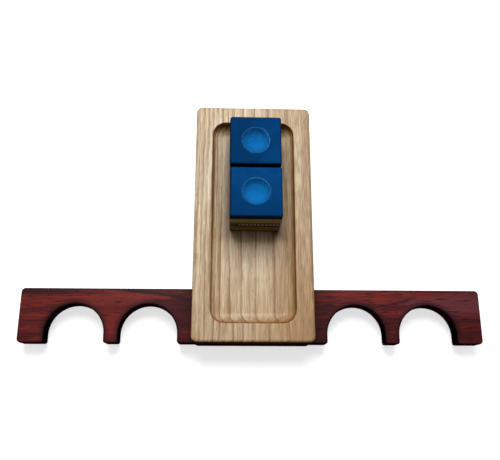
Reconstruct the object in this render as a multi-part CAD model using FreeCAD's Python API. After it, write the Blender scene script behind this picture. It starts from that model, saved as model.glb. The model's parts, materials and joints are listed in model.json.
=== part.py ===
import FreeCAD, Part
import math
import os

# Table-top cue rest: an ash block with a chalk tray lies on the table, and two notched
# hardwood arms swing out from under its front edge to hold four upright cues.
# The block, three spacers and a thin base plate make a flat box. The arms turn in the
# layer between block and plate, and fold back into it through a quarter turn.
#
# Frame: origin at table level under the middle of the block, +X right, +Y rear, +Z up.
# Every arm dimension is written for the right arm; the left arm is its mirror image.

V = FreeCAD.Vector
UP = V(0, 0, 1)

# ---------------------------------------------------------------- driving dimensions, mm
BLOCK_W, BLOCK_L, BLOCK_T = 52.6, 108.6, 8.6
BLOCK_CORNER, BLOCK_ROUND, BLOCK_EASE = 2.5, 1.2, 0.4

TRAY_W, TRAY_L, TRAY_DEPTH = 37.0, 92.6, 5.8
TRAY_CORNER, TRAY_BOWL, TRAY_RIM = 6.0, 5.0, 0.5   # plan corner, floor radius, eased rim

PAD_T, PAD_INSET = 0.8, 1.5
PLATE_T = 2.0
ARM_T, ARM_W = 7.8, 23.8
ARM_CLEAR = 0.4                                    # over and under the arms
WASHER_T, WASHER_R = 0.35, 5.0

ARM_REACH = 101.5                                  # arm tip, from the middle of the block
ARM_SETBACK = 0.3                                  # arm's front edge behind the block's
NOTCH_W, NOTCH_DEPTH = 25.4, 16.75
NOTCH_INNER, NOTCH_PITCH = 45.55, 31.8             # first notch's centre, step to the next
ARM_EASE, NOTCH_TIP, ARM_CORNER = 0.8, 1.1, 1.8
STOP_GAP = 0.25                                    # between an arm and what stops it

RIB_T = 2.4
SPACER_SETBACK = 0.6                               # front stop behind the block's front
STOP_DEPTH = 5.8
REAR_SPACER_L = 15.4

PIVOT_IN = 6.55                                    # pivot behind the arm's front edge
BUSH_R, BUSH_BORE_R, BUSH_FIT = 3.0, 1.55, 0.05
PIVOT_SHANK_R, HEAD_R, PIVOT_SCREW_L = 1.5, 2.8, 16.0
INSERT_R, INSERT_L = 2.3, 5.0
WOOD_SHANK_R, WOOD_SCREW_L = 1.25, 12.7
FRONT_SCREW_X, REAR_SCREW_X = 8.0, 20.5

CHALK, LABEL_T, CHALK_CORNER = 22.5, 0.15, 1.2      # cube in its wrapper: 22.2 without
CHALK_BAND = 2.8                                   # bare chalk above the label
DIMPLE_R, DIMPLE_DEPTH = 6.0, 2.4
FRONT_CHALK_X, REAR_CHALK_X = 0.65, 0.45           # the loose cubes' centres
FRONT_CHALK_Y, CHALK_GAP = -4.5, 0.9               # first cube's front face, gap between
CHALK_SEAT = 0.1                                   # loose cube over the tray floor

# ---------------------------------------------------------------- levels and places
Z_PLATE = PAD_T
Z_LAYER = Z_PLATE + PLATE_T
LAYER_H = ARM_T + 2 * ARM_CLEAR
Z_ARM = Z_LAYER + ARM_CLEAR
Z_BLOCK = Z_LAYER + LAYER_H
Z_TOP = Z_BLOCK + BLOCK_T
Z_FLOOR = Z_TOP - TRAY_DEPTH
Y_FRONT = -BLOCK_L / 2

PIVOT_Y = Y_FRONT + ARM_SETBACK + PIVOT_IN
PIVOT_X = RIB_T / 2 + STOP_GAP + ARM_W - PIVOT_IN  # folded, the back edge meets the rib
STOP_HALF = PIVOT_X - PIVOT_IN - STOP_GAP          # open, the arm's end meets the stop
STOP_BACK = Y_FRONT + SPACER_SETBACK + STOP_DEPTH
REAR_FRONT = BLOCK_L / 2 - SPACER_SETBACK - REAR_SPACER_L
FRONT_SCREW_Y = Y_FRONT + SPACER_SETBACK + STOP_DEPTH / 2
REAR_SCREW_Y = BLOCK_L / 2 - SPACER_SETBACK - REAR_SPACER_L / 2


# ---------------------------------------------------------------- helpers
def slab(width, length, height, z0, corner, x0=0.0, y0=0.0):
    """A flat block centred on (x0, y0) with rounded upright corners."""
    body = Part.makeBox(width, length, height, V(x0 - width / 2, y0 - length / 2, z0))
    return body.makeFillet(corner, upright_edges(body)) if corner else body


def upright_edges(shape):
    """The straight vertical edges of a shape."""
    return [e for e in shape.Edges
            if e.BoundBox.XLength < 1e-4 and e.BoundBox.YLength < 1e-4]


def level_edges(shape, z):
    """The edges that lie in the plane at height z."""
    return [e for e in shape.Edges
            if abs(e.BoundBox.ZMin - z) < 1e-4 and abs(e.BoundBox.ZMax - z) < 1e-4]


def rod(radius, z0, z1, x, y):
    return Part.makeCylinder(radius, z1 - z0, V(x, y, z0))


def ring(outer, inner, z0, z1, x, y):
    return rod(outer, z0, z1, x, y).cut(rod(inner, z0, z1, x, y))


def countersink(shank_r, x, y):
    """The cone under a 90 degree head that sits flush with the plate's underside."""
    return Part.makeCone(HEAD_R, shank_r, HEAD_R - shank_r, V(x, y, Z_PLATE), UP)


def mirrored(shape):
    return shape.mirror(V(0, 0, 0), V(1, 0, 0))


def both_sides(x, y):
    return [(x, y), (-x, y)]


def plate_screw_places():
    return both_sides(FRONT_SCREW_X, FRONT_SCREW_Y) + both_sides(REAR_SCREW_X, REAR_SCREW_Y)


# ---------------------------------------------------------------- the box
def tray_block():
    """Ash block: round-bottomed chalk tray on top, blind holes for fasteners below."""
    block = slab(BLOCK_W, BLOCK_L, BLOCK_T, Z_BLOCK, BLOCK_CORNER)
    block = block.makeFillet(BLOCK_ROUND, level_edges(block, Z_TOP))
    block = block.makeFillet(BLOCK_EASE, level_edges(block, Z_BLOCK))

    tray = slab(TRAY_W, TRAY_L, TRAY_DEPTH + 5, Z_FLOOR, TRAY_CORNER)
    tray = tray.makeFillet(TRAY_BOWL, level_edges(tray, Z_FLOOR))
    block = block.cut(tray)
    rim = [e for e in level_edges(block, Z_TOP) if abs(e.CenterOfMass.x) < TRAY_W / 2 + 0.1
           and abs(e.CenterOfMass.y) < TRAY_L / 2 + 0.1]
    block = block.makeFillet(TRAY_RIM, rim)

    tip = Z_PLATE + PIVOT_SCREW_L + 0.4
    for x, y in both_sides(PIVOT_X, PIVOT_Y):
        block = block.cut(rod(INSERT_R, Z_BLOCK, Z_BLOCK + INSERT_L, x, y))
        block = block.cut(rod(PIVOT_SHANK_R, Z_BLOCK, tip, x, y))
    for x, y in plate_screw_places():
        block = block.cut(wood_screw(x, y))
    return block


def base_plate():
    """Thin hardwood plate that closes the box, countersunk from below for six screws."""
    plate = slab(BLOCK_W, BLOCK_L, PLATE_T, Z_PLATE, BLOCK_CORNER)
    plate = plate.makeFillet(0.3, level_edges(plate, Z_PLATE))
    holes = [(PIVOT_SHANK_R, p) for p in both_sides(PIVOT_X, PIVOT_Y)]
    holes += [(WOOD_SHANK_R, p) for p in plate_screw_places()]
    for shank_r, (x, y) in holes:
        plate = plate.cut(rod(shank_r, Z_PLATE, Z_LAYER, x, y))
        plate = plate.cut(countersink(shank_r, x, y))
    return plate


def non_slip_pad():
    """Rubber sheet glued under the plate, over the screw heads."""
    return slab(BLOCK_W - 2 * PAD_INSET, BLOCK_L - 2 * PAD_INSET, PAD_T, 0,
                BLOCK_CORNER - PAD_INSET / 2)


def spacer(width, y_from, y_to, screws=(), corner=0.0):
    """A glued strip that holds the plate one arm layer below the block."""
    strip = slab(width, y_to - y_from, LAYER_H, Z_LAYER, corner, y0=(y_from + y_to) / 2)
    for x, y in screws:
        strip = strip.cut(rod(WOOD_SHANK_R, Z_LAYER, Z_BLOCK, x, y))
    return strip


def front_stop():
    """The open arms' square ends rest against the two sides of this strip."""
    return spacer(2 * STOP_HALF, Y_FRONT + SPACER_SETBACK, STOP_BACK,
                  both_sides(FRONT_SCREW_X, FRONT_SCREW_Y))


def centre_rib():
    """The folded arms' back edges rest against the two faces of this strip."""
    return spacer(RIB_T, STOP_BACK, REAR_FRONT)


def rear_spacer():
    """Closes the box behind the folded arms' tips."""
    return spacer(BLOCK_W - 2 * SPACER_SETBACK, REAR_FRONT, REAR_FRONT + REAR_SPACER_L,
                  both_sides(REAR_SCREW_X, REAR_SCREW_Y), BLOCK_CORNER - SPACER_SETBACK)


# ---------------------------------------------------------------- the arms
def arm_outline():
    """Closed wire of the right arm, in plan, with the pivot as its origin.

    The inner end is square at the front, where it meets the stop, and round at the
    back, so that it swings clear. Behind the pivot the arm starts level with it."""
    front, back = -PIVOT_IN, ARM_W - PIVOT_IN
    tip = ARM_REACH - PIVOT_X
    r = NOTCH_W / 2
    spring = front + NOTCH_DEPTH - r               # where straight sides turn into the arch

    edges, at = [], V(-PIVOT_IN, front, 0)

    def line_to(x, y):
        nonlocal at
        edges.append(Part.LineSegment(at, V(x, y, 0)).toShape())
        at = V(x, y, 0)

    def arc_to(mid, end):
        nonlocal at
        edges.append(Part.Arc(at, mid, end).toShape())
        at = end

    for centre in (NOTCH_INNER - PIVOT_X, NOTCH_INNER + NOTCH_PITCH - PIVOT_X):
        line_to(centre - r, front)
        line_to(centre - r, spring)
        arc_to(V(centre, spring + r, 0), V(centre + r, spring, 0))
        line_to(centre + r, front)
    line_to(tip, front)
    line_to(tip, back)
    line_to(0, back)
    line_to(0, PIVOT_IN)
    half = PIVOT_IN * math.sqrt(0.5)
    arc_to(V(-half, half, 0), V(-PIVOT_IN, 0, 0))
    line_to(-PIVOT_IN, front)
    return Part.Wire(edges)


def right_arm():
    """Hardwood arm with two arched cue notches open to the front, all edges eased."""
    arm = Part.Face(arm_outline()).extrude(V(0, 0, ARM_T))
    notch_tips, corners = [], []
    for edge in upright_edges(arm):
        x, y = edge.CenterOfMass.x, edge.CenterOfMass.y
        at_front = abs(y + PIVOT_IN) < 1e-3
        if at_front and 0 < x < ARM_REACH - PIVOT_X - 1:
            notch_tips.append(edge)
        elif x > -1 and (abs(y - (ARM_W - PIVOT_IN)) < 1e-3 or at_front):
            corners.append(edge)
    arm = arm.makeFillet(NOTCH_TIP, notch_tips)
    corners = [e for e in upright_edges(arm) if any(
        (e.CenterOfMass - c.CenterOfMass).Length < 1e-3 for c in corners)]
    arm = arm.makeFillet(ARM_CORNER, corners)
    inside = [e for e in upright_edges(arm)
              if abs(e.CenterOfMass.x) < 1e-3 and abs(e.CenterOfMass.y - PIVOT_IN) < 1e-3]
    arm = arm.makeFillet(NOTCH_TIP, inside)
    arm = arm.makeFillet(ARM_EASE, level_edges(arm, 0) + level_edges(arm, ARM_T))
    arm = arm.cut(rod(BUSH_R + BUSH_FIT, 0, ARM_T, 0, 0))
    arm.translate(V(PIVOT_X, PIVOT_Y, Z_ARM))
    return arm


# ---------------------------------------------------------------- pivots and fasteners
def pivot_bush():
    """Brass sleeve clamped between plate and block: the arm turns on its outside."""
    return ring(BUSH_R, BUSH_BORE_R, Z_LAYER, Z_BLOCK, PIVOT_X, PIVOT_Y)


def pivot_washer(z0):
    return ring(WASHER_R, BUSH_R + 0.02, z0, z0 + WASHER_T, PIVOT_X, PIVOT_Y)


def pivot_insert():
    """Brass insert in the block's blind hole, taking the pivot screw's thread."""
    return ring(INSERT_R, PIVOT_SHANK_R, Z_BLOCK, Z_BLOCK + INSERT_L, PIVOT_X, PIVOT_Y)


def pivot_screw():
    """Countersunk machine screw with a hexagon socket, up through plate and bush."""
    screw = rod(PIVOT_SHANK_R, Z_PLATE, Z_PLATE + PIVOT_SCREW_L, PIVOT_X, PIVOT_Y)
    screw = screw.fuse(countersink(PIVOT_SHANK_R, PIVOT_X, PIVOT_Y)).removeSplitter()
    corners = [V(PIVOT_X + 1.15 * math.cos(k * math.pi / 3),
                 PIVOT_Y + 1.15 * math.sin(k * math.pi / 3), Z_PLATE) for k in range(7)]
    return screw.cut(Part.Face(Part.makePolygon(corners)).extrude(V(0, 0, 1.1)))


def wood_screw(x, y, slotted=False):
    """Countersunk wood screw from below, with a plain shank and a conical point."""
    point = 2.0
    neck = Z_PLATE + WOOD_SCREW_L - point
    screw = rod(WOOD_SHANK_R, Z_PLATE, neck, x, y)
    screw = screw.fuse(Part.makeCone(WOOD_SHANK_R, 0.1, point, V(x, y, neck), UP))
    screw = screw.fuse(countersink(WOOD_SHANK_R, x, y)).removeSplitter()
    if slotted:
        screw = screw.cut(Part.makeBox(6, 0.8, 0.7, V(x - 3, y - 0.4, Z_PLATE)))
    return screw


def plate_screws():
    return Part.makeCompound([wood_screw(x, y, slotted=True)
                              for x, y in plate_screw_places()])


# ---------------------------------------------------------------- chalk
def cube_base(x, y_front):
    """Centre of a cube's underside in plan, and its height above the table."""
    return V(x, y_front + CHALK / 2, Z_FLOOR + CHALK_SEAT)


def chalk_cube(base):
    """Pressed chalk with a shallow round dimple in its top face."""
    side, z_top = CHALK - 2 * LABEL_T, base.z + CHALK
    cube = slab(side, side, CHALK - LABEL_T, base.z + LABEL_T,
                CHALK_CORNER - LABEL_T, base.x, base.y)
    cube = cube.makeFillet(0.5, level_edges(cube, z_top))
    ball_r = (DIMPLE_R ** 2 + DIMPLE_DEPTH ** 2) / (2 * DIMPLE_DEPTH)
    ball = Part.makeSphere(ball_r, V(base.x, base.y, z_top - DIMPLE_DEPTH + ball_r))
    return cube.cut(ball)


def chalk_label(base):
    """Paper wrapper glued round the cube's four sides and over its underside."""
    side = CHALK - 2 * LABEL_T
    outer = slab(CHALK, CHALK, CHALK - CHALK_BAND, base.z, CHALK_CORNER, base.x, base.y)
    inner = slab(side, side, CHALK, base.z + LABEL_T, CHALK_CORNER - LABEL_T,
                 base.x, base.y)
    return outer.cut(inner)


# ---------------------------------------------------------------- write every piece
def pieces():
    """Node name to shape, for the whole object."""
    front_base = cube_base(FRONT_CHALK_X, FRONT_CHALK_Y)
    rear_base = cube_base(REAR_CHALK_X, FRONT_CHALK_Y + CHALK + CHALK_GAP)
    out = {
        "tray_block": tray_block(),
        "base_plate": base_plate(),
        "non_slip_pad": non_slip_pad(),
        "front_stop": front_stop(),
        "centre_rib": centre_rib(),
        "rear_spacer": rear_spacer(),
        "plate_screws": plate_screws(),
        "front_chalk": chalk_cube(front_base),
        "front_chalk_label": chalk_label(front_base),
        "rear_chalk": chalk_cube(rear_base),
        "rear_chalk_label": chalk_label(rear_base),
    }
    paired = {
        "arm": right_arm(),
        "pivot_bush": pivot_bush(),
        "pivot_screw": pivot_screw(),
        "pivot_insert": pivot_insert(),
        "upper_washer": pivot_washer(Z_BLOCK - WASHER_T),
        "lower_washer": pivot_washer(Z_LAYER),
    }
    for name, shape in paired.items():
        out["right_" + name] = shape
        out["left_" + name] = mirrored(shape)
    return out


os.makedirs("parts", exist_ok=True)
for node, shape in pieces().items():
    shape.exportStep("parts/%s.step" % node)
    box = shape.BoundBox
    print("%-20s %2d solid  x %7.2f %7.2f  y %7.2f %7.2f  z %6.2f %6.2f" % (
        node, len(shape.Solids), box.XMin, box.XMax, box.YMin, box.YMax, box.ZMin, box.ZMax))
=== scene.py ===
# %% [markdown]
# # A table-top cue rest in ash and red hardwood
#
# The object is small and hand-made. A pale ash block, with a tray for chalk milled into its
# top, lies on a table's edge. Two red arms swing out from under its front, and cues lean in
# their arched notches. Every solid part comes ready-made from the CAD model, in metres, with
# the origin at table level under the middle of the block. This file gives each part its
# finish, and replaces the parts that CAD draws too cleanly: chalk, paper, rubber and screws.

# %% Load the CAD model and keep its box
import bpy
import bmesh
import json
import math
from mathutils import Matrix, Vector, noise


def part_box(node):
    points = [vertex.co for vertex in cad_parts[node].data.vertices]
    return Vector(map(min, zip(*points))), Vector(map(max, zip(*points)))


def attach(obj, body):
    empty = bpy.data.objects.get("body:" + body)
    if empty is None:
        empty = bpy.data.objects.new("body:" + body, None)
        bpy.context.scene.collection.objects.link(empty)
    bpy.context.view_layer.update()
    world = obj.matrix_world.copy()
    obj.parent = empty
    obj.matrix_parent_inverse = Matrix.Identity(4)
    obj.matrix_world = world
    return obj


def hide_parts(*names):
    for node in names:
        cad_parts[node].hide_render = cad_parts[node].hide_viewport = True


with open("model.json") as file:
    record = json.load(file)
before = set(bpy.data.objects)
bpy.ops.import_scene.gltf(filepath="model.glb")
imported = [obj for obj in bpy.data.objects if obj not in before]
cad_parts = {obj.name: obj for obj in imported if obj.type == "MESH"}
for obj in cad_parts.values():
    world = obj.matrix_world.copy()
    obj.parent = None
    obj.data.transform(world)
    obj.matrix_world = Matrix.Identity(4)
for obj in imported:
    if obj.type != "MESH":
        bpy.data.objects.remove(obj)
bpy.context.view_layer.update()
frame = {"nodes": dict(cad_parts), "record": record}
nodes = frame["nodes"]
MM = 0.001

# %% [markdown]
# ## A short way to wire nodes
#
# Blender's materials are graphs of small nodes. Written out one by one they hide the idea
# under bookkeeping, so a small wrapper adds a node, fills its sockets and hands back the
# output that is wanted. A value goes into a socket as it is, and a socket is linked.

# %% The wrapper
class Board:
    """A node tree being wired."""

    def __init__(self, tree):
        self.tree = tree

    def plug(self, socket, value):
        if isinstance(value, bpy.types.NodeSocket):
            self.tree.links.new(value, socket)
        else:
            socket.default_value = value

    def node(self, kind, sockets=None, **settings):
        made = self.tree.nodes.new("ShaderNode" + kind)
        for name, value in settings.items():
            setattr(made, name, value)
        for name, value in (sockets or {}).items():
            self.plug(made.inputs[name], value)
        return made

    def math(self, operation, *values, clamp=False):
        sockets = dict(enumerate(values))
        return self.node("Math", sockets, operation=operation, use_clamp=clamp).outputs[0]

    def vector(self, operation, a, b):
        made = self.node("VectorMath", {0: a, 1: b}, operation=operation)
        return made.outputs["Value" if operation == "DOT_PRODUCT" else "Vector"]

    def ramp(self, value, low, high, at_low=0.0, at_high=1.0):
        """An eased step from at_low to at_high, as value goes from low to high."""
        return self.node("MapRange", {0: value, 1: low, 2: high, 3: at_low, 4: at_high},
                         interpolation_type="SMOOTHSTEP").outputs[0]

    def mix(self, factor, a, b, blend_type="MIX"):
        made = self.node("Mix", data_type="RGBA", blend_type=blend_type)
        for index, value in ((0, factor), (6, a), (7, b)):
            self.plug(made.inputs[index], value)
        return made.outputs[2]

    def noise(self, place, scale, detail=2.0, distortion=0.0):
        return self.node("TexNoise", {"Vector": place, "Scale": scale, "Detail": detail,
                                      "Distortion": distortion}).outputs["Fac"]

    def group(self, tree, sockets):
        made = self.node("Group", node_tree=tree)
        for name, value in sockets.items():
            self.plug(made.inputs[name], value)
        return made.outputs


def paint(red, green, blue):
    """A colour read off a colour card (0 to 255), as the linear light that Blender mixes."""
    card = [c / 255 for c in (red, green, blue)]
    return tuple(c / 12.92 if c <= 0.04045 else ((c + 0.055) / 1.055) ** 2.4
                 for c in card) + (1.0,)


def shader_group(name, inputs, outputs):
    """An empty group, as a board, with its named inputs and outputs."""
    tree = bpy.data.node_groups.new(name, "ShaderNodeTree")
    for label, default in inputs.items():
        kind = "NodeSocketVector" if isinstance(default, tuple) else "NodeSocketFloat"
        tree.interface.new_socket(label, in_out="INPUT", socket_type=kind).default_value = default
    for label in outputs:
        tree.interface.new_socket(label, in_out="OUTPUT", socket_type="NodeSocketFloat")
    enter, leave = tree.nodes.new("NodeGroupInput"), tree.nodes.new("NodeGroupOutput")
    return Board(tree), enter.outputs, leave.inputs


print("wiring helpers ready")

# %% [markdown]
# ## What all the woods share: fibres and pores
#
# Wood is a bundle of tubes. Cut along them it shows long faint streaks, with short dark
# dashes where a wide tube lies open; cut across them the same tubes show as dots. So the
# pattern is made solid, as noise squeezed along the grain, and the shape that is cut out of
# it decides what shows. The grain runs along the group's Y, in millimetres.

# %% Fibres, pores and slow clouds of tone
def make_fibres():
    board, take, give = shader_group(
        "wood fibres", {"Place": (0.0, 0.0, 0.0), "Pore Size": 1.0},
        ["Streaks", "Hairs", "Pores", "Cloud"])
    place = take["Place"]
    long = board.vector("MULTIPLY", place, (1.0, 0.06, 1.0))
    longer = board.vector("MULTIPLY", place, (1.0, 0.035, 1.0))
    dashes = board.vector("MULTIPLY", place, (1.0, 0.11, 1.0))
    board.plug(give["Streaks"], board.ramp(board.noise(longer, 0.55, 3.0), 0.3, 0.7))
    board.plug(give["Hairs"], board.ramp(board.noise(long, 2.3, 2.0), 0.3, 0.7))
    pores = board.noise(dashes, board.math("DIVIDE", 1.9, take["Pore Size"]), 1.0)
    board.plug(give["Pores"], board.ramp(pores, 0.60, 0.70))
    slow = board.vector("MULTIPLY", place, (1.0, 0.35, 1.0))
    board.plug(give["Cloud"], board.ramp(board.noise(slow, 0.06, 2.0), 0.3, 0.7))
    return board.tree


fibres = make_fibres()
print("group:", fibres.name)

# %% [markdown]
# ## Growth rings
#
# Ash grows a brown porous line each spring and dense pale wood after it. In this block the
# rings lie at 45 degrees, narrow by the left side and wider and wider to the right. A
# logarithm counts them: each ring is a fixed share wider than the last. Past the
# narrowest ring the count goes on in even steps. The spring line fades to one side only.

# %% Rings that widen from one side to the other
def make_rings():
    board, take, give = shader_group(
        "growth rings", {"Across": 0.0, "Place": (0.0, 0.0, 0.0), "Line": 0.45, "Fade": 2.6},
        ["Line", "Tint"])
    heart, first, share, narrow = 29.7, 15.2, math.log(1.27), 8.5
    sway = board.vector("MULTIPLY", take["Place"], (1.0, 0.28, 1.0))
    lean = board.math("MULTIPLY_ADD", board.noise(sway, 0.05, 1.0), 3.0, -1.5)
    waver = board.math("MULTIPLY_ADD", board.noise(sway, 0.45, 3.0), 1.6, -0.8)
    across = board.math("ADD", board.math("ADD", take["Across"], lean), waver)
    out = board.math("ADD", across, heart)
    far = board.math("MAXIMUM", out, narrow)
    count = board.math("DIVIDE", board.math(
        "LOGARITHM", board.math("DIVIDE", far, first), math.e), share)
    short = board.math("MAXIMUM", board.math("SUBTRACT", narrow, out), 0.0)
    count = board.math("SUBTRACT", count, board.math("DIVIDE", short, narrow * share))
    part = board.math("FRACT", count)
    width = board.math("MULTIPLY", far, share)
    before = board.math("MULTIPLY", board.math("SUBTRACT", 1.0, part), width)
    after = board.math("MULTIPLY", part, width)

    def fading(distance, reach):
        return board.math("EXPONENT", board.math(
            "MULTIPLY", board.math("DIVIDE", distance, reach), -1.0))

    line = board.math("MAXIMUM", fading(before, take["Line"]), fading(after, 0.16))
    board.plug(give["Line"], line)
    reach = board.math("MINIMUM", take["Fade"], board.math("MULTIPLY", width, 0.4))
    board.plug(give["Tint"], fading(before, reach))
    return board.tree


rings = make_rings()
print("group:", rings.name)

# %% [markdown]
# ## Eased edges and end grain
#
# The finishes paint shade onto eased edges and upright faces, which turn away from the
# light. A flat looks straight along one axis, and an eased edge looks between two, so the
# largest part of the surface's direction tells them apart. End grain, where the tubes stand
# open, drinks more oil and turns darker and warmer: it is wherever the surface looks along the
# grain. An upright face looks hardly upwards.

# %% Masks from the way a surface looks
def make_facing():
    board, take, give = shader_group(
        "facing", {"Grain": (0.0, 1.0, 0.0)}, ["Edge", "End Grain", "Upright"])
    normal = board.node("NewGeometry").outputs["Normal"]
    split = board.node("SeparateXYZ", {0: board.vector("ABSOLUTE", normal, (0, 0, 0))})
    x, y, z = split.outputs
    most = board.math("MAXIMUM", board.math("MAXIMUM", x, y), z)
    board.plug(give["Edge"], board.ramp(most, 0.98, 0.78))
    along = board.math("ABSOLUTE", board.vector("DOT_PRODUCT", normal, take["Grain"]))
    board.plug(give["End Grain"], board.ramp(along, 0.25, 0.95))
    board.plug(give["Upright"], board.ramp(z, 0.75, 0.15))
    return board.tree


facing = make_facing()
print("group:", facing.name)

# %% [markdown]
# ## Starting a material
#
# Every finish starts the same way: one Principled shader, and the surface's own place in
# millimetres, so that a size in a pattern reads like a size on a drawing.

# %% A new material, its shader and its place
def new_finish(name, **sockets):
    material = bpy.data.materials.new(name)
    material.use_nodes = True
    board = Board(material.node_tree)
    shader = material.node_tree.nodes["Principled BSDF"]
    for label, value in sockets.items():
        shader.inputs[label.replace("_", " ")].default_value = value
    place = board.node("TexCoord").outputs["Object"]
    place = board.vector("MULTIPLY", place, (1000.0, 1000.0, 1000.0))
    return material, board, shader, place


def raise_surface(board, shader, height, depth_mm):
    """Lifts the surface by height (0 to 1) times a depth, as light sees it."""
    bump = board.node("Bump", {"Strength": 1.0, "Distance": depth_mm * MM, "Height": height})
    board.plug(shader.inputs["Normal"], bump.outputs["Normal"])


print("finish helpers ready")

# %% [markdown]
# ## Ash
#
# Rings give the block its bold lines, fibres its fine ones. The pores crowd into the spring
# lines, as they do in ash. The sheen comes from oil, so it is the shader's coat: it lies on
# the rubbed faces, and the thirsty upright cuts have none.

# %% The block's finish
OIL = {"Specular_IOR_Level": 0.0, "Coat_Roughness": 0.38}
BLEND = 1.0                    # how softly one region gives way to the next, in mm
CUBE_SHADOW_REACH = 6.5               # how far the cubes' painted shadow spreads from them, in mm
CUBE_SHADOW_FULL, CUBE_SHADOW_TOP = 1.5, 6.0  # its heights up the tray's wall: still full, and gone


def ash_finish(front, wall_x, floor_z, cube_half, cubes_front):
    """All five places are in millimetres: the block's front face, a place between its side
    and the tray's wall, the tray's floor, and half the width and the front of the cubes."""
    material, board, shader, place = new_finish("oiled ash", **OIL)
    across = board.math("ADD", board.vector("DOT_PRODUCT", place, (1.0, 0.0, -1.0)), floor_z)
    ring = board.group(rings, {"Across": across, "Place": place})
    grain = board.group(fibres, {"Place": place, "Pore Size": 1.0})
    side = board.group(facing, {"Grain": (0.0, 1.0, 0.0)})
    x, y, z = board.node("SeparateXYZ", {0: place}).outputs

    colour = board.mix(grain["Cloud"], paint(197, 188, 162), paint(184, 168, 134))
    # painted shade: the ash darkens towards the right and towards the front, where less light
    # falls
    shade_right_front = board.math("ADD", board.ramp(x, -4.0, 26.0, 0.0, 0.55),
                        board.ramp(y, 10.0, -54.0, 0.0, 0.45))
    colour = board.mix(shade_right_front, colour, paint(152, 120, 82))
    broken = board.math("MULTIPLY_ADD", grain["Streaks"], 1.1, 0.35)
    tint = board.math("MULTIPLY", ring["Tint"], broken)
    fainter_left = board.ramp(x, -26.0, -14.0, 0.55, 1.0)
    line = board.math("MULTIPLY", board.math("MULTIPLY", ring["Line"], broken), fainter_left)
    colour = board.mix(board.math("MULTIPLY", tint, 0.85, clamp=True), colour,
                       paint(128, 96, 70))
    colour = board.mix(board.math("MULTIPLY", line, 0.85, clamp=True), colour,
                       paint(88, 60, 40))
    busier_right = board.ramp(x, 0.0, 24.0, 0.45, 0.75)
    streaks = board.math("MULTIPLY", grain["Streaks"], busier_right)
    colour = board.mix(streaks, colour, paint(132, 104, 72))
    hairs = board.math("MULTIPLY", grain["Hairs"], busier_right)
    colour = board.mix(hairs, colour, paint(110, 84, 56))
    crowd = board.math("MULTIPLY_ADD", ring["Tint"], 0.6, 0.25)
    pores = board.math("MULTIPLY", grain["Pores"], crowd)
    colour = board.mix(board.math("MULTIPLY", pores, 0.7), colour, paint(80, 56, 36))
    # painted shadow of the chalk cubes on the tray's floor and walls, deeper on their right
    beside = board.math("MAXIMUM",
                        board.math("SUBTRACT", board.math("ABSOLUTE", x), cube_half),
                        board.math("SUBTRACT", cubes_front, y))
    cube_shadow = board.math("MULTIPLY", board.ramp(beside, CUBE_SHADOW_REACH, 0.0),
                       board.ramp(z, floor_z + CUBE_SHADOW_TOP, floor_z + CUBE_SHADOW_FULL))
    cube_shadow = board.math("MULTIPLY", cube_shadow, board.ramp(x, 0.5 * cube_half, cube_half, 0.65, 1.0))
    colour = board.mix(cube_shadow, colour, paint(122, 94, 68), "MULTIPLY")
    ends = board.math("MULTIPLY", side["End Grain"], 0.55)
    colour = board.mix(ends, colour, paint(170, 126, 78), "MULTIPLY")

    # painted shade: upright faces, the tray's walls and the block's sides, are darkened, less
    # inside the tray
    inside = board.math(
        "MULTIPLY",
        board.ramp(board.math("ABSOLUTE", x), wall_x + 0.5 + BLEND, wall_x + 0.5),
        board.ramp(y, front + 2.0, front + 2.0 + BLEND))
    upright_shade = board.mix(inside, paint(150, 112, 78), paint(226, 180, 122))
    colour = board.mix(side["Upright"], colour, upright_shade, "MULTIPLY")
    # painted shade: the block's front face, which turns away from the lamp, is darker still
    front_face_shade = board.math("MULTIPLY", side["Upright"],
                            board.ramp(y, front + 0.5 + BLEND, front + 0.5))
    colour = board.mix(front_face_shade, colour, paint(160, 134, 114), "MULTIPLY")
    board.plug(shader.inputs["Base Color"], colour)
    board.plug(shader.inputs["Coat Weight"], board.ramp(side["Upright"], 0.0, 1.0, 0.3, 0.0))

    rough = board.math("MULTIPLY_ADD", grain["Hairs"], 0.10, 0.46)
    rough = board.math("MULTIPLY_ADD", side["End Grain"], 0.14, rough)
    board.plug(shader.inputs["Roughness"], rough)
    height = board.math("MULTIPLY_ADD", pores, -1.0, board.math("MULTIPLY", grain["Hairs"], 0.35))
    raise_surface(board, shader, height, 0.06)
    return material


SIDE = 5.0                     # this close to the block's side there is only rim, in mm
block_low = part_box("tray_block")[0] / MM
cube_low, cube_high = (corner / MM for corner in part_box("front_chalk_label"))
ash = ash_finish(block_low.y, -block_low.x - SIDE, cube_low.z,
                 (cube_high.x - cube_low.x) / 2, cube_low.y)
print("material:", ash.name)

# %% [markdown]
# ## Red hardwood
#
# The arms' wood is red-brown, with wavy bands from brick red to plum and short open pores.
# Its grain runs along the arm, so place is turned to bring X onto the group's Y. The cut
# from the plank also leaves a few long plum streaks that fade at both ends. Each arm has
# its own, so a streak is a group with a middle, a slope and a size. Painted shade makes a
# narrow dark ring round each notch, and darkens the arm towards the block, on its upright
# faces and on its eased edges.

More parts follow.
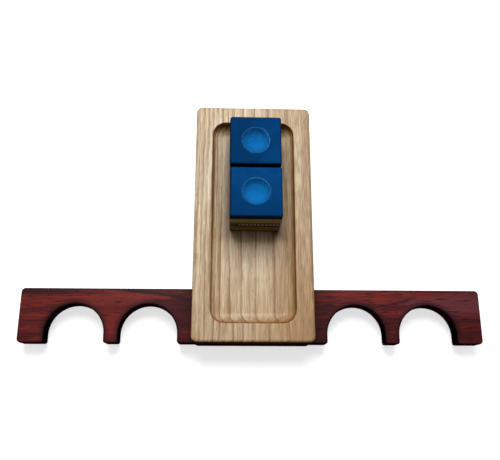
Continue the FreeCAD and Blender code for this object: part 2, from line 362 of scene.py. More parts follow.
# %% One long streak, faded at its ends
def make_streak():
    board, take, give = shader_group(
        "plum streak", {"Place": (0.0, 0.0, 0.0), "Middle": (0.0, 0.0, 0.0), "Slope": 0.0,
                        "Half Length": 20.0, "Half Width": 1.5}, ["Mask"])
    local = board.vector("SUBTRACT", take["Place"], take["Middle"])
    along, across, _ = board.node("SeparateXYZ", {0: local}).outputs
    stretched = board.vector("MULTIPLY", take["Place"], (0.05, 0.5, 0.5))
    wander = board.math("MULTIPLY_ADD", board.noise(stretched, 1.0, 3.0), 3.4, -1.7)
    across = board.math("SUBTRACT", across, board.math("MULTIPLY", along, take["Slope"]))
    across = board.math("ABSOLUTE", board.math("ADD", across, wander))
    thin = board.ramp(board.math("DIVIDE", across, take["Half Width"]), 0.2, 1.0, 1.0, 0.0)
    reach = board.math("DIVIDE", board.math("ABSOLUTE", along), take["Half Length"])
    ends = board.ramp(reach, 0.55, 1.0, 1.0, 0.0)
    board.plug(give["Mask"], board.math("MULTIPLY", thin, ends))
    return board.tree


streak = make_streak()
print("group:", streak.name)


# %% The arms' finish
notch_mounts = [m for m in frame["record"]["mounts"] if m["name"].endswith("notch")]
NOTCH_R = notch_mounts[0]["dims"]["r_mm"]
NOTCH_SHADE_REACH = 3.0                   # how far the painted shade reaches past a notch, in mm


def notches_of(side_name):
    """The middles of one arm's notches, in millimetres."""
    return [(m["pos_m"][0] / MM, m["pos_m"][1] / MM) for m in notch_mounts
            if m["name"].startswith(side_name)]


def red_finish(name, streaks, notches=(), dark_front=0.0, shift=(0.0, 0.0, 0.0)):
    """A streak is (middle, slope, half length, half width, depth, tone). dark_front is how
    dark the front edge is, and shift picks another stretch of the same plank."""
    material, board, shader, place = new_finish(name, **OIL)
    turned = board.node("Mapping", {"Vector": place, "Location": shift,
                                    "Rotation": (0.0, 0.0, math.pi / 2)}).outputs[0]
    grain = board.group(fibres, {"Place": turned, "Pore Size": 1.3})
    side = board.group(facing, {"Grain": (1.0, 0.0, 0.0)})
    ribbon = board.vector("MULTIPLY", turned, (1.0, 0.05, 1.0))
    bands = board.ramp(board.noise(ribbon, 0.30, 3.0, 0.4), 0.32, 0.68)
    fine = board.ramp(board.noise(ribbon, 1.1, 3.0, 0.6), 0.35, 0.7)
    x, y, _ = board.node("SeparateXYZ", {0: place}).outputs

    colour = board.mix(bands, paint(108, 35, 30), paint(54, 15, 20))
    colour = board.mix(board.math("MULTIPLY", fine, 0.7), colour, paint(36, 11, 17))
    warm = board.math("MULTIPLY", grain["Cloud"], 0.3)
    colour = board.mix(warm, colour, paint(100, 33, 26))
    colour = board.mix(board.math("MULTIPLY", grain["Hairs"], 0.55), colour, paint(40, 11, 14))
    for middle, slope, half_length, half_width, depth, tone in streaks:
        mask = board.group(streak, {"Place": place, "Middle": middle, "Slope": slope,
                                    "Half Length": half_length, "Half Width": half_width})
        colour = board.mix(board.math("MULTIPLY", mask["Mask"], depth), colour, tone)
    if dark_front:
        front = board.ramp(y, -34.0, -50.0, 0.0, dark_front)
        colour = board.mix(front, colour, paint(44, 11, 13))
    colour = board.mix(board.math("MULTIPLY", grain["Pores"], 0.8), colour, paint(28, 8, 10))
    # painted shade: the arm is darker next to the block
    block_shade = board.ramp(board.math("ABSOLUTE", x), 41.0, 27.0, 0.0, 0.65)
    colour = board.mix(block_shade, colour, paint(150, 92, 88), "MULTIPLY")
    for centre_x, centre_y in notches:
        off = board.vector("MULTIPLY", board.vector("SUBTRACT", place, (centre_x, centre_y, 0.0)),
                           (1.0, 1.0, 0.0))
        from_centre = board.node("VectorMath", {0: off}, operation="LENGTH").outputs["Value"]
        # painted shade: a dark ring on each notch's eased edge
        notch_shade = board.ramp(from_centre, NOTCH_R + NOTCH_SHADE_REACH, NOTCH_R + 0.2, 0.0, 0.85)
        colour = board.mix(notch_shade, colour, paint(34, 12, 15))
    # darker end grain, which is real, together with painted shade on upright faces such as the
    # notch walls
    end_grain_and_shaded_uprights = board.math("MAXIMUM", side["End Grain"], side["Upright"])
    colour = board.mix(end_grain_and_shaded_uprights, colour, paint(70, 58, 68), "MULTIPLY")
    # painted shade: the eased edges, which turn away from the light, are darkened
    colour = board.mix(board.math("MULTIPLY", side["Edge"], 0.9), colour, paint(22, 9, 12))
    board.plug(shader.inputs["Base Color"], colour)
    bare = board.math("MAXIMUM", end_grain_and_shaded_uprights, side["Edge"])
    board.plug(shader.inputs["Coat Weight"], board.ramp(bare, 0.0, 0.6, 0.1, 0.0))

    board.plug(shader.inputs["Roughness"], board.math("MULTIPLY_ADD", fine, 0.12, 0.42))
    height = board.math("MULTIPLY_ADD", grain["Pores"], -1.0,
                        board.math("MULTIPLY", grain["Hairs"], 0.3))
    raise_surface(board, shader, height, 0.07)
    return material


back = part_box("left_arm")[1].y / MM
plum, violet, ember = paint(36, 18, 26), paint(78, 40, 46), paint(104, 36, 29)
left_red = red_finish("red hardwood left", [
    ((-60.0, back - 5.0, 0.0), 0.0, 18.0, 5.0, 0.5, ember),
    ((-44.0, back - 2.0, 0.0), -0.16, 26.0, 1.5, 0.9, plum),
    ((-92.0, back - 1.0, 0.0), 0.02, 24.0, 2.4, 0.8, plum),
    ((-60.0, back, 0.0), 0.0, 60.0, 0.9, 0.6, plum),
    ((-61.0, back - 15.0, 0.0), 0.0, 9.0, 9.0, 0.35, paint(118, 34, 26)),
], notches_of("left"))
right_red = red_finish("red hardwood right", [
    ((42.0, back - 3.5, 0.0), 0.04, 26.0, 3.6, 0.3, ember),
    ((88.0, back - 7.0, 0.0), 0.10, 26.0, 8.0, 0.7, violet),
    ((62.0, back - 6.5, 0.0), 0.24, 13.0, 0.7, 0.8, plum),
    ((64.0, back - 8.5, 0.0), 0.22, 11.0, 0.6, 0.7, plum),
    ((36.0, back - 9.0, 0.0), -0.10, 14.0, 1.2, 0.5, plum),
], notches_of("right"), dark_front=0.55, shift=(40.0, 25.0, 0.0))
plate_red = red_finish("red hardwood plate", [], shift=(7.0, 90.0, 0.0))
print("materials:", left_red.name, right_red.name, plate_red.name)

# %% [markdown]
# ## Metal, nylon and rubber
#
# The small parts are turned brass, zinc-plated steel and natural nylon. Turning leaves fine
# rings round the part's own axis, plating is blotchy, nylon is faintly cloudy and rubber is
# dull and dusty. One group gives the fine scuffs that all of them share.

# %% Scuffs and blotches
def make_scuffs():
    board, take, give = shader_group(
        "scuffs", {"Place": (0.0, 0.0, 0.0), "Scale": 1.0}, ["Scuffs", "Blotches"])
    skewed = board.vector("MULTIPLY", take["Place"], (0.35, 1.6, 1.0))
    scratches = board.noise(skewed, board.math("MULTIPLY", take["Scale"], 2.2), 4.0, 0.8)
    board.plug(give["Scuffs"], board.ramp(scratches, 0.52, 0.68))
    slow = board.noise(take["Place"], board.math("MULTIPLY", take["Scale"], 0.35), 3.0)
    board.plug(give["Blotches"], board.ramp(slow, 0.3, 0.7))
    return board.tree


scuffs = make_scuffs()
print("group:", scuffs.name)


# %% Their finishes
TURNING_PITCH = 0.25           # from one tool mark to the next, in mm


def worn_finish(name, light, dark, metallic, rough, depth_mm, scale=1.0, turned=False):
    material, board, shader, place = new_finish(name, Metallic=metallic)
    wear = board.group(scuffs, {"Place": place, "Scale": scale})
    colour = board.mix(wear["Blotches"], light, dark)
    board.plug(shader.inputs["Base Color"], colour)
    board.plug(shader.inputs["Roughness"],
               board.math("MULTIPLY_ADD", wear["Scuffs"], 0.18, rough))
    height = wear["Scuffs"]
    if turned:
        rise = board.node("SeparateXYZ", {0: place}).outputs["Z"]
        marks = board.math("SINE", board.math("MULTIPLY", rise, 2 * math.pi / TURNING_PITCH))
        height = board.math("MULTIPLY_ADD", marks, 0.5, height)
    raise_surface(board, shader, height, depth_mm)
    return material


brass = worn_finish("turned brass", paint(214, 176, 102), paint(186, 146, 78), 1.0, 0.28,
                    0.01, turned=True)
steel = worn_finish("zinc-plated steel", paint(176, 180, 184), paint(140, 146, 152), 1.0,
                    0.32, 0.008)
nylon = worn_finish("natural nylon", paint(226, 222, 208), paint(208, 202, 186), 0.0, 0.42,
                    0.01)
rubber = worn_finish("black rubber", paint(30, 30, 31), paint(44, 43, 42), 0.0, 0.78, 0.03,
                     scale=0.6)
print("materials:", brass.name, steel.name, nylon.name, rubber.name)

# %% [markdown]
# ## Chalk
#
# Pressed chalk is matt and powdery. Its flats are deep blue, and loose powder shows paler
# where a cue has turned in the dimple and round the dimple's lip. Darker lumps of packed
# powder stay in the dimple. Painted shade makes the edges and the upright sides nearly black,
# and painted light makes the dimple's front half paler. Each cube centres the pattern on its
# own dimple, and is duller towards its front or its left.

# %% The chalk's finish
def chalk_finish(name, centre, reach, flat, worn, duller):
    """centre is the middle of the top, reach the dimple's radius in millimetres, and duller
    says how much duller the front and the left are."""
    material, board, shader, place = new_finish(name, Roughness=0.95, Specular_IOR_Level=0.02)
    local = board.vector("SUBTRACT", place, tuple(c / MM for c in centre))
    x, y, z = board.node("SeparateXYZ", {0: local}).outputs
    radius = board.math("SQRT", board.math(
        "ADD", board.math("MULTIPLY", x, x), board.math("MULTIPLY", y, y)))
    ragged = board.math("MULTIPLY_ADD", board.noise(place, 0.9, 3.0), 0.9, -0.45)
    radius = board.math("ADD", radius, ragged)
    top = board.ramp(z, -4.0, -3.0)
    dimple = board.math("MULTIPLY", board.ramp(radius, reach, reach - 0.7), top)
    lip = board.math("MULTIPLY", board.ramp(radius, reach - 0.9, reach - 0.25),
                     board.ramp(radius, reach + 0.35, reach - 0.1))
    lip = board.math("MULTIPLY", lip, top)
    grain = board.noise(place, 5.5, 3.0)
    lumps = board.ramp(board.noise(place, 1.0, 3.0, 0.3), 0.44, 0.62)
    cloud = board.ramp(board.noise(place, 0.16, 2.0), 0.3, 0.7)
    side = board.group(facing, {})

    deep = tuple(c * 0.5 for c in flat[:3]) + (1.0,)
    colour = board.mix(board.math("MULTIPLY", cloud, 0.4), flat, deep)
    packed = board.mix(board.math("MULTIPLY", lumps, 0.55), worn, flat)
    colour = board.mix(dimple, colour, packed)
    colour = board.mix(board.math("MULTIPLY", lip, 0.55), colour, paint(50, 118, 170))
    dust = board.math("MULTIPLY", side["Edge"], board.ramp(grain, 0.42, 0.62))
    colour = board.mix(board.math("MULTIPLY", dust, 0.25), colour, worn)
    # painted shade: the rounded edges are nearly black
    colour = board.mix(board.ramp(side["Edge"], 0.2, 0.9, 0.0, 0.9), colour, paint(3, 16, 30))
    colour = board.mix(board.math("MULTIPLY", board.ramp(grain, 0.3, 0.7), 0.18), colour, deep)
    dull = board.math("ADD", board.ramp(y, -9.0, 9.0, duller[0], 0.0),
                      board.ramp(x, -9.0, 9.0, duller[1], 0.0))
    colour = board.mix(board.math("MULTIPLY", dull, 0.9, clamp=True), colour, deep)
    # painted light: the dimple's front half, which faces the lamp behind, is lighter
    colour = board.mix(board.math("MULTIPLY", dimple, board.ramp(y, 6.5, -3.0, 0.2, 0.6)),
                       colour, worn)
    # painted shade: the upright sides are nearly black
    colour = board.mix(board.math("MULTIPLY", side["Upright"], 0.9), colour, paint(2, 10, 22))
    board.plug(shader.inputs["Base Color"], colour)
    raise_surface(board, shader, board.math("MULTIPLY_ADD", lumps, 0.8, grain), 0.05)
    return material


# %% [markdown]
# ## The chalk's paper wrapper
#
# A printed paper band is glued round each cube: dark rules at top and bottom, dull gold,
# then a plum stripe with a plain row of dots, then gold again. Painted shade darkens the
# corners, and blue dust clings below the top rule. Heights count up from the lower edge.

# %% The wrapper's finish
RULE, CRISP = 0.9, 0.12        # a dark rule's height and how sharp print is, in mm
STRIPE = (7.2, 12.9)           # the plum stripe's lower and upper edge
DOT_HEIGHT, DOT_PITCH = 10.2, 1.7
DOT_ROW = (4.2, 40.2)          # where the dots start and end, counted round a corner


def wrapper_finish(name, low, high):
    material, board, shader, place = new_finish(name, Specular_IOR_Level=0.15)
    local = board.vector("SUBTRACT", place, tuple(c / MM for c in low))
    x, y, z = board.node("SeparateXYZ", {0: local}).outputs
    rise = board.math("ADD", z, board.math("MULTIPLY_ADD", board.noise(place, 0.3), 0.12, -0.06))
    full = (high.z - low.z) / MM

    def between(low_edge, high_edge):
        up = board.ramp(rise, low_edge - CRISP, low_edge + CRISP)
        return board.math("MULTIPLY", up, board.ramp(rise, high_edge + CRISP, high_edge - CRISP))

    fibre = board.noise(place, 2.4, 4.0)
    gold = board.mix(board.ramp(fibre, 0.35, 0.65), paint(106, 88, 40), paint(86, 68, 28))
    plum = board.mix(board.ramp(fibre, 0.35, 0.65), paint(28, 9, 7), paint(22, 7, 5))
    colour = board.mix(between(1.5 * RULE, full - RULE), paint(8, 7, 9), gold)
    colour = board.mix(between(*STRIPE), colour, plum)

    side = board.math("ADD", x, y)
    step = board.math("FRACT", board.math("DIVIDE", side, DOT_PITCH))
    dot_x = board.math("MULTIPLY", board.math("SUBTRACT", step, 0.5), DOT_PITCH)
    dot_z = board.math("SUBTRACT", rise, DOT_HEIGHT)
    dot = board.math("SQRT", board.math("ADD", board.math("MULTIPLY", dot_x, dot_x),
                                        board.math("MULTIPLY", dot_z, dot_z)))
    inside = board.math("MULTIPLY", board.ramp(side, DOT_ROW[0] - 0.2, DOT_ROW[0]),
                        board.ramp(side, DOT_ROW[1] + 0.2, DOT_ROW[1]))
    dot = board.math("MULTIPLY", board.ramp(dot, 0.75, 0.45), inside)
    colour = board.mix(board.math("MULTIPLY", dot, 0.85), colour, paint(176, 160, 140))

    look = board.group(facing, {})
    # painted shade: the rounded corners are darkened
    colour = board.mix(board.math("MULTIPLY", look["Edge"], 0.8), colour, paint(10, 8, 8))
    dust = board.math("MULTIPLY", board.ramp(rise, full - 4.0, full),
                      board.ramp(board.noise(place, 0.8, 4.0), 0.45, 0.7))
    colour = board.mix(board.math("MULTIPLY", dust, 0.4), colour, paint(6, 26, 52))
    board.plug(shader.inputs["Base Color"], colour)
    board.plug(shader.inputs["Roughness"], board.math("MULTIPLY_ADD", fibre, 0.2, 0.38))
    raise_surface(board, shader, fibre, 0.03)
    return material


print("chalk and wrapper finishes ready")

# %% [markdown]
# ## Finishing the CAD parts
#
# Wood, brass and nylon parts keep the shape that CAD gave them, and only get a finish.

# %% One finish per CAD part
def set_finish(node, material):
    node.data.materials.clear()
    node.data.materials.append(material)


finishes = {
    "tray_block": ash, "left_arm": left_red, "right_arm": right_red, "base_plate": plate_red,
    "front_stop": plate_red, "centre_rib": plate_red, "rear_spacer": plate_red,
}
for side_name in ("left", "right"):
    finishes[side_name + "_pivot_bush"] = finishes[side_name + "_pivot_insert"] = brass
    finishes[side_name + "_upper_washer"] = finishes[side_name + "_lower_washer"] = nylon
for name, material in finishes.items():
    set_finish(nodes[name], material)
print("finished", len(finishes), "CAD parts")

# %% [markdown]
# ## Chalk cubes
#
# A chalk cube starts sharp in the press and wears round. It could be a bevelled box, but its
# skin is what shows it is chalk, so the cube is a fine net of squares. A smooth rule rounds the
# corners and sinks the dimple, and noise then eats into the skin, most of all along the
# edges and in the dimple. Nothing grows outwards, so the cube stays inside its CAD box.

# %% The net of a cube
def cube_net(cells):
    """Points and faces of a cube from -1 to 1, each side cut into cells x cells squares."""
    points, faces, seen = [], [], {}

    def corner(x, y, z):
        key = (round(x * cells), round(y * cells), round(z * cells))
        if key not in seen:
            seen[key] = len(points)
            points.append(Vector((x, y, z)))
        return seen[key]

    axes = [Vector((1, 0, 0)), Vector((0, 1, 0)), Vector((0, 0, 1))]
    for i, out in enumerate(axes):
        u, v = axes[(i + 1) % 3], axes[(i + 2) % 3]
        for sign in (1, -1):
            for a in range(cells):
                for b in range(cells):
                    square = [(a, b), (a + 1, b), (a + 1, b + 1), (a, b + 1)][::sign]
                    faces.append([corner(*(out * sign + u * (2 * s / cells - 1)
                                           + v * (2 * t / cells - 1))) for s, t in square])
    return points, faces


CELLS = 72
net_points, net_faces = cube_net(CELLS)
print("net:", len(net_points), "points")


# %% Wearing the net into a chalk cube
CHALK_ROUND, DIMPLE_R, DIMPLE_DEPTH = 0.95 * MM, 6.0 * MM, 2.4 * MM
GRAIN_PER_MM, SLOW_PER_MM = 1.7, 0.35     # how fast the fine and the slow noise change


def new_piece(name, points, faces, material, smooth=True):
    mesh = bpy.data.meshes.new(name)
    mesh.from_pydata([tuple(p) for p in points], [], faces)
    mesh.materials.append(material)
    mesh.polygons.foreach_set("use_smooth", [smooth] * len(mesh.polygons))
    piece = bpy.data.objects.new(name, mesh)
    bpy.context.scene.collection.objects.link(piece)
    return piece


def worn_point(point, low, high, seed):
    """Where a point of the unit net lies on a used cube of chalk. A bite is in millimetres."""
    centre, half = (low + high) / 2, (high - low) / 2
    on_box = Vector(p * h for p, h in zip(point, half))
    core = Vector(max(-h + CHALK_ROUND, min(h - CHALK_ROUND, p)) for p, h in zip(on_box, half))
    out = (on_box - core).normalized() if (on_box - core).length > 1e-9 else Vector(point)
    place = core + out * CHALK_ROUND
    grain = noise.fractal((place / MM + seed) * GRAIN_PER_MM, 1.0, 2.0, 3) * 0.5 + 0.5
    slow = noise.noise((place / MM + seed) * SLOW_PER_MM) * 0.5 + 0.5
    edge = 1 - max(abs(c) for c in out)
    bite = 0.01 + 0.05 * grain + edge * (0.12 * slow + 0.35 * max(0.0, grain - 0.55))
    place -= out * bite * MM
    off_axis = math.hypot(place.x, place.y)
    if point.z > 0.999 and off_axis < DIMPLE_R:
        bowl = 1 - (off_axis / DIMPLE_R) ** 2
        lumps = 0.28 * MM * (slow * grain) * min(1.0, 3 * bowl)
        place.z -= DIMPLE_DEPTH * bowl - lumps
    return centre + place


def chalk_cube(node_name, seed, flat, worn, duller):
    low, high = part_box(node_name)
    points = [worn_point(p, low, high, seed) for p in net_points]
    top = Vector(((low.x + high.x) / 2, (low.y + high.y) / 2, high.z))
    material = chalk_finish(node_name.replace("_", " "), top, DIMPLE_R / MM, flat, worn,
                            duller)
    cube = new_piece(node_name + "_worn", points, net_faces, material)
    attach(cube, node_name)
    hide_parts(node_name)
    return cube


front_cube = chalk_cube("front_chalk", Vector((3.1, 7.7, 1.9)),
                        paint(4, 55, 103), paint(11, 92, 152), (0.75, 0.1))
rear_cube = chalk_cube("rear_chalk", Vector((23.4, 1.2, 8.6)),
                       paint(3, 49, 93), paint(10, 88, 148), (0.1, 0.6))
print("chalk:", front_cube.name, rear_cube.name)

# %% [markdown]
# ## Paper wrappers
#
# The wrapper is a paper cup: a band round four sides with folds under the cube. It is drawn as
# one closed skin. A rounded square is swept from the inner floor, up the inner wall, over
# the rim, down the outer wall and in again under the cube. Its top edge was cut by hand, so
# it rises and falls a little, and the glued overlap on the rear side stands slightly proud.

# %% A rounded square, sampled evenly
PAPER, PAPER_CORNER = 0.15 * MM, 0.9 * MM
WAVE, PROUD = 0.12 * MM, 0.04 * MM        # the rim's rise and fall, and the overlap's step


def rounded_square(half, corner, per_side=16, per_corner=5):
    """Points of a rounded square, anticlockwise, from the middle of its right side."""
    loop = []
    for quarter in range(4):
        turn = Matrix.Rotation(quarter * math.pi / 2, 2)
        straight = half - corner
        side = [Vector((half, straight * (2 * k / per_side - 1))) for k in range(per_side)]
        bend = [Vector((straight + corner * math.cos(a), straight + corner * math.sin(a)))
                for a in (k * math.pi / 2 / per_corner for k in range(per_corner))]
        loop += [turn @ p for p in side + bend]
    return loop


print("wrapper outline:", len(rounded_square(1.0, 0.1)), "points")


# %% The wrapper as one closed skin
def paper_wrapper(node_name, body, seed):
    low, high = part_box(node_name)
    centre, half = (low + high) / 2, (high.x - low.x) / 2
    outer = rounded_square(half - PROUD, PAPER_CORNER)
    inner = rounded_square(half - PAPER, PAPER_CORNER - PAPER)
    rows = []

    def row(outline, height, shrink=1.0, proud=False, wavy=False):
        ring_points = []
        for p in outline:
            angle = math.atan2(p.y, p.x)
            lift = WAVE * noise.noise(Vector((math.cos(angle), math.sin(angle), seed)) * 2)
            step = 0.0
            if proud and p.y > half * 0.9 and abs(p.x - 0.15 * half) < 0.16 * half:
                step = PROUD
            ring_points.append(Vector((centre.x + p.x * shrink,
                                       centre.y + p.y * shrink + step,
                                       height + (lift - 0.1 * MM if wavy else 0.0))))
        rows.append(ring_points)

    floor, wall_steps = low.z + PAPER, 8
    for shrink in (0.02, 0.6, 0.97):
        row(inner, floor, shrink)
    for k in range(wall_steps + 1):
        row(inner, floor + (high.z - floor) * k / wall_steps, wavy=k == wall_steps)
    for k in range(wall_steps + 1):
        row(outer, high.z - (high.z - low.z - PAPER) * k / wall_steps, proud=True,
            wavy=k == 0)
    for shrink in (0.985, 0.6, 0.02):
        row(outer, low.z, shrink)

    count = len(outer)
    points = [p for ring_points in rows for p in ring_points]
    faces = [[r * count + k, r * count + (k + 1) % count,
              (r + 1) * count + (k + 1) % count, (r + 1) * count + k]
             for r in range(len(rows) - 1) for k in range(count)]
    faces += [list(range(count))[::-1],
              [(len(rows) - 1) * count + k for k in range(count)]]
    material = wrapper_finish(node_name.replace("_", " "), low, high)
    wrapper = new_piece(node_name + "_paper", points, faces, material)
    work = bmesh.new()
    work.from_mesh(wrapper.data)
    bmesh.ops.recalc_face_normals(work, faces=work.faces)
    work.to_mesh(wrapper.data)
    work.free()
    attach(wrapper, body)
    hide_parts(node_name)
    return wrapper


front_wrapper = paper_wrapper("front_chalk_label", "front_chalk", 1.7)
rear_wrapper = paper_wrapper("rear_chalk_label", "rear_chalk", 6.3)
print("wrappers:", front_wrapper.name, rear_wrapper.name)

# %% [markdown]
# ## Geometry Nodes, for what repeats
#
# The grip dots of the rubber pad and the threads of the screws follow plain rules, so node
# trees make them. As with shaders, a small wrapper keeps the wiring short. A tree is run
# once and its result kept as a plain mesh, because the finished model holds no instances.

# %% The wrapper for Geometry Nodes
class Mill(Board):
    """A geometry tree being wired, with its group input and output."""

    def __init__(self, name, inputs):
        super().__init__(bpy.data.node_groups.new(name, "GeometryNodeTree"))
        for label, default in inputs.items():
            self.tree.interface.new_socket(
                label, in_out="INPUT", socket_type="NodeSocketFloat").default_value = default
        self.tree.interface.new_socket("Geometry", in_out="OUTPUT",
                                       socket_type="NodeSocketGeometry")
        self.take = self.tree.nodes.new("NodeGroupInput").outputs
        self.leave = self.tree.nodes.new("NodeGroupOutput").inputs[0]

    def geo(self, kind, sockets=None, **settings):
        made = self.tree.nodes.new("GeometryNode" + kind)
        for name, value in settings.items():
            setattr(made, name, value)
        for name, value in (sockets or {}).items():
            self.plug(made.inputs[name], value)
        return made

    def xyz(self, x=0.0, y=0.0, z=0.0):
        return self.node("CombineXYZ", {0: x, 1: y, 2: z}).outputs[0]

    def move(self, geometry, offset):
        return self.geo("Transform", {"Geometry": geometry, "Translation": offset}).outputs[0]

    def join(self, *parts):
        made = self.geo("JoinGeometry")
        for part in parts:
            self.tree.links.new(part, made.inputs[0])
        return made.outputs[0]

    def finish(self, geometry, material):
        """Ends the tree: instances made real, and the material set."""
        real = self.geo("RealizeInstances", {0: geometry}).outputs[0]
        painted = self.geo("SetMaterial", {0: real, "Material": material}).outputs[0]
        self.tree.links.new(painted, self.leave)
        return self.tree


def run_tree(name, tree, body, replaced, sizes):
    """Runs a tree on an empty mesh and keeps the result as a plain piece. A size goes to the
    modifier under its socket's identifier, before the tree runs for the first time."""
    holder = bpy.data.objects.new(name + "_holder", bpy.data.meshes.new(name + "_holder"))
    bpy.context.scene.collection.objects.link(holder)
    modifier = holder.modifiers.new("tree", "NODES")
    modifier.node_group = tree
    sockets = {s.name: s.identifier for s in tree.interface.items_tree if s.in_out == "INPUT"}
    for label, value in sizes.items():
        modifier[sockets[label]] = value
    shown = holder.evaluated_get(bpy.context.evaluated_depsgraph_get())
    mesh = bpy.data.meshes.new_from_object(shown)
    bpy.data.objects.remove(holder)
    piece = bpy.data.objects.new(name, mesh)
    bpy.context.scene.collection.objects.link(piece)
    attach(piece, body)
    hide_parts(replaced)
    print(name, "has", len(mesh.polygons), "faces")


print("geometry helpers ready")

# %% [markdown]
# ## Non-slip pad
#
# The rubber sheet grips with rows of low round dots on its underside. The sheet is a rounded
# rectangle, filled and given its thickness, and one eight-sided dot is set on every point of a
# grid that stays clear of the sheet's edge.

# %% The pad's tree
GRIP = {"Pitch": 2.4 * MM, "Dot Radius": 0.75 * MM, "Dot Height": 0.3 * MM}


def pad_tree(low, high):
    mill = Mill("grip pad", GRIP)
    size, margin, corner = high - low, 2.0 * MM, 1.75 * MM
    outline = mill.geo("CurvePrimitiveQuadrilateral", {"Width": size.x, "Height": size.y})
    rounded = mill.geo("FilletCurve", {"Curve": outline.outputs[0], "Radius": corner},
                       mode="POLY")
    rounded.inputs["Count"].default_value = 6
    sheet = mill.geo("FillCurve", {0: rounded.outputs[0]}, mode="NGONS").outputs[0]
    depth = mill.math("SUBTRACT", size.z, mill.take["Dot Height"])
    solid = mill.geo("ExtrudeMesh", {"Mesh": sheet, "Offset": mill.xyz(z=1.0),
                                     "Offset Scale": depth, "Individual": False})
    whole = mill.join(solid.outputs[0], mill.geo("FlipFaces", {0: sheet}).outputs[0])
    whole = mill.geo("MergeByDistance", {"Geometry": whole, "Distance": 1e-6}).outputs[0]
    whole = mill.move(whole, mill.xyz(z=mill.take["Dot Height"]))

    span = size - Vector((2 * margin, 2 * margin, 0))
    grid = mill.geo("MeshGrid", {"Size X": span.x, "Size Y": span.y})
    for axis, reach in (("X", span.x), ("Y", span.y)):
        count = mill.math("ADD", mill.math("FLOOR", mill.math(
            "DIVIDE", reach, mill.take["Pitch"])), 1.0)
        mill.plug(grid.inputs["Vertices " + axis], count)
    dot = mill.geo("MeshCone", {"Vertices": 8, "Radius Top": mill.take["Dot Radius"],
                                "Depth": mill.take["Dot Height"]})
    mill.plug(dot.inputs["Radius Bottom"], mill.math(
        "MULTIPLY", mill.take["Dot Radius"], 0.7))
    dots = mill.geo("InstanceOnPoints", {"Points": grid.outputs[0], "Instance": dot.outputs[0]})
    middle = (low + high) / 2
    return mill.finish(mill.move(mill.join(whole, dots.outputs[0]),
                                 (middle.x, middle.y, low.z)), rubber)


run_tree("non_slip_pad_dots", pad_tree(*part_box("non_slip_pad")), "block",
         "non_slip_pad", GRIP)

# %% [markdown]
# ## Screws
#
# A screw is a core, a thread that climbs round it and a countersunk head. The thread is a small
# triangle swept along a spiral. One tree makes both kinds: the two machine screws at the
# pivots and, instanced at their four places, the wood screws that hold the plate.

# %% The screw's tree
def screw_tree(name, places, head_r, length, thread_from, sizes):
    mill = Mill(name, sizes)
    shank_r = sizes["Shank Radius"]
    core_r = mill.math("SUBTRACT", mill.take["Shank Radius"], mill.take["Thread Depth"])
    point = 1.6 * shank_r
    thread_length = length - thread_from - point
    core = mill.geo("MeshCylinder", {"Vertices": 32, "Radius": core_r, "Depth": length - point})
    core = mill.move(core.outputs[0], (0.0, 0.0, (length - point) / 2))
    tip = mill.geo("MeshCone", {"Vertices": 32, "Radius Bottom": core_r,
                                "Radius Top": 0.1 * shank_r, "Depth": point})
    tip = mill.move(tip.outputs[0], (0.0, 0.0, length - point))
    cone_height = head_r - shank_r
    head = mill.geo("MeshCone", {"Vertices": 48, "Radius Bottom": head_r,
                                 "Radius Top": shank_r, "Depth": cone_height})
    collar = mill.geo("MeshCylinder", {"Vertices": 32, "Radius": mill.take["Shank Radius"],
                                       "Depth": thread_from - cone_height})
    collar = mill.move(collar.outputs[0], (0.0, 0.0, (thread_from + cone_height) / 2))

    turns = mill.math("DIVIDE", thread_length, mill.take["Pitch"])
    spiral = mill.geo("CurveSpiral", {"Resolution": 24, "Rotations": turns,
                                      "Start Radius": core_r, "End Radius": core_r,
                                      "Height": thread_length})
    crest = mill.geo("CurvePrimitiveCircle", {"Resolution": 3,
                                              "Radius": mill.take["Thread Depth"]})
    thread = mill.geo("CurveToMesh", {"Curve": spiral.outputs[0],
                                      "Profile Curve": crest.outputs[0], "Fill Caps": True})
    thread = mill.move(thread.outputs[0], (0.0, 0.0, thread_from))
    screw = mill.join(core, tip, head.outputs[0], collar, thread)

    spots = None
    for x, y, z in places:
        spot = mill.geo("Points", {"Position": (x, y, z)}).outputs[0]
        spots = spot if spots is None else mill.join(spots, spot)
    set_screws = mill.geo("InstanceOnPoints", {"Points": spots, "Instance": screw})
    return mill.finish(set_screws.outputs[0], steel)


print("screw tree ready")

# %% The screws in their places
machine_screw = {"Shank Radius": 1.5 * MM, "Pitch": 0.5 * MM, "Thread Depth": 0.2 * MM}
wood_screw = {"Shank Radius": 1.25 * MM, "Pitch": 1.1 * MM, "Thread Depth": 0.3 * MM}
for side_name in ("left", "right"):
    node_name = side_name + "_pivot_screw"
    low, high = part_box(node_name)
    spot = ((low.x + high.x) / 2, (low.y + high.y) / 2, low.z)
    tree = screw_tree(node_name, [spot], (high.x - low.x) / 2, high.z - low.z, 9.0 * MM,
                      machine_screw)
    run_tree(node_name + "_threaded", tree, "block", node_name, machine_screw)

low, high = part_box("plate_screws")
head_r = 2.8 * MM
front_x = 8.0 * MM
places = [(side * x, y, low.z) for side in (-1, 1)
          for x, y in ((front_x, low.y + head_r), (high.x - head_r, high.y - head_r))]
tree = screw_tree("plate screws", places, head_r, high.z - low.z, 3.5 * MM, wood_screw)
run_tree("plate_screws_threaded", tree, "block", "plate_screws", wood_screw)

# %% [markdown]
# ## Floor, light and camera
#
# The floor is plain and pale, and glows a little, as a sheet of opal glass does, so that
# shadows on it stay faint. From underneath it is clear, and the pad shows. One large soft lamp
# hangs behind the object: the near faces fall into shade and the tray's front end catches
# light. The sky is bright overhead and dim in front, to keep that shade.

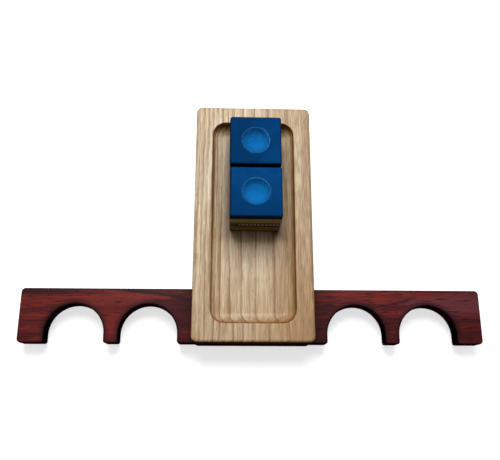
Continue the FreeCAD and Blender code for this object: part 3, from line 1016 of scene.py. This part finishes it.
# %% The floor
def pale_floor():
    half, level = 1.5, -0.1 * MM
    corners = [(-half, -half, level), (half, -half, level), (half, half, level),
               (-half, half, level)]
    material, board, shader, _ = new_finish("pale floor", Roughness=0.9,
                                                Specular_IOR_Level=0.0, Emission_Strength=0.62)
    shader.inputs["Base Color"].default_value = (0.5, 0.5, 0.5, 1.0)
    shader.inputs["Emission Color"].default_value = (1.0, 1.0, 1.0, 1.0)
    behind = board.node("NewGeometry").outputs["Backfacing"]
    board.plug(shader.inputs["Alpha"], board.math("SUBTRACT", 1.0, behind))
    floor = new_piece("floor", corners, [[0, 1, 2, 3]], material, smooth=False)


pale_floor()
print("floor laid")


# %% The lamps and the sky
def soft_lamp(name, place, target, size, watts):
    data = bpy.data.lights.new(name, "AREA")
    data.shape, data.size, data.size_y = "RECTANGLE", size[0], size[1]
    data.energy = watts
    lamp = bpy.data.objects.new(name, data)
    lamp.location = place
    lamp.rotation_euler = (Vector(target) - Vector(place)).to_track_quat("-Z", "Y").to_euler()
    bpy.context.scene.collection.objects.link(lamp)


def studio_sky(zenith, front, strength):
    world = bpy.data.worlds.new("studio")
    world.use_nodes = True
    bpy.context.scene.world = world
    board = Board(world.node_tree)
    ground = world.node_tree.nodes["Background"]
    look = board.node("TexCoord").outputs["Generated"]
    bright = board.math("ADD", board.vector("DOT_PRODUCT", look, (0.0, 0.45, 0.75)), 0.15)
    shade = board.ramp(bright, -0.2, 0.9, front, zenith)
    board.plug(ground.inputs["Strength"], board.math("MULTIPLY", shade, strength))
    ground.inputs["Color"].default_value = (1.0, 1.0, 1.0, 1.0)


soft_lamp("key", (-0.02, 0.23, 0.48), (0.0, 0.0, 0.0), (0.28, 0.28), 3.95)
studio_sky(zenith=1.0, front=0.05, strength=0.62)
bpy.context.scene.view_settings.view_transform = "Standard"


# %% The camera
def camera_above():
    """Looks down from over the front edge, tipped back a little."""
    data = bpy.data.cameras.new("camera")
    data.lens, data.sensor_width = 42.57, 36.0
    data.clip_start = 0.01
    data.shift_x, data.shift_y = -0.0005, 0.001
    camera = bpy.data.objects.new("camera", data)
    tilt, roll, yaw = (math.radians(a) for a in (16.04, -2.02, 0.615))
    turn = (Matrix.Rotation(yaw, 4, "Z") @ Matrix.Rotation(tilt, 4, "X")
            @ Matrix.Rotation(roll, 4, "Y"))
    camera.matrix_world = Matrix.Translation((-0.0098, -0.0778, 0.2705)) @ turn
    bpy.context.scene.collection.objects.link(camera)
    bpy.context.scene.camera = camera


camera_above()
print("camera set")
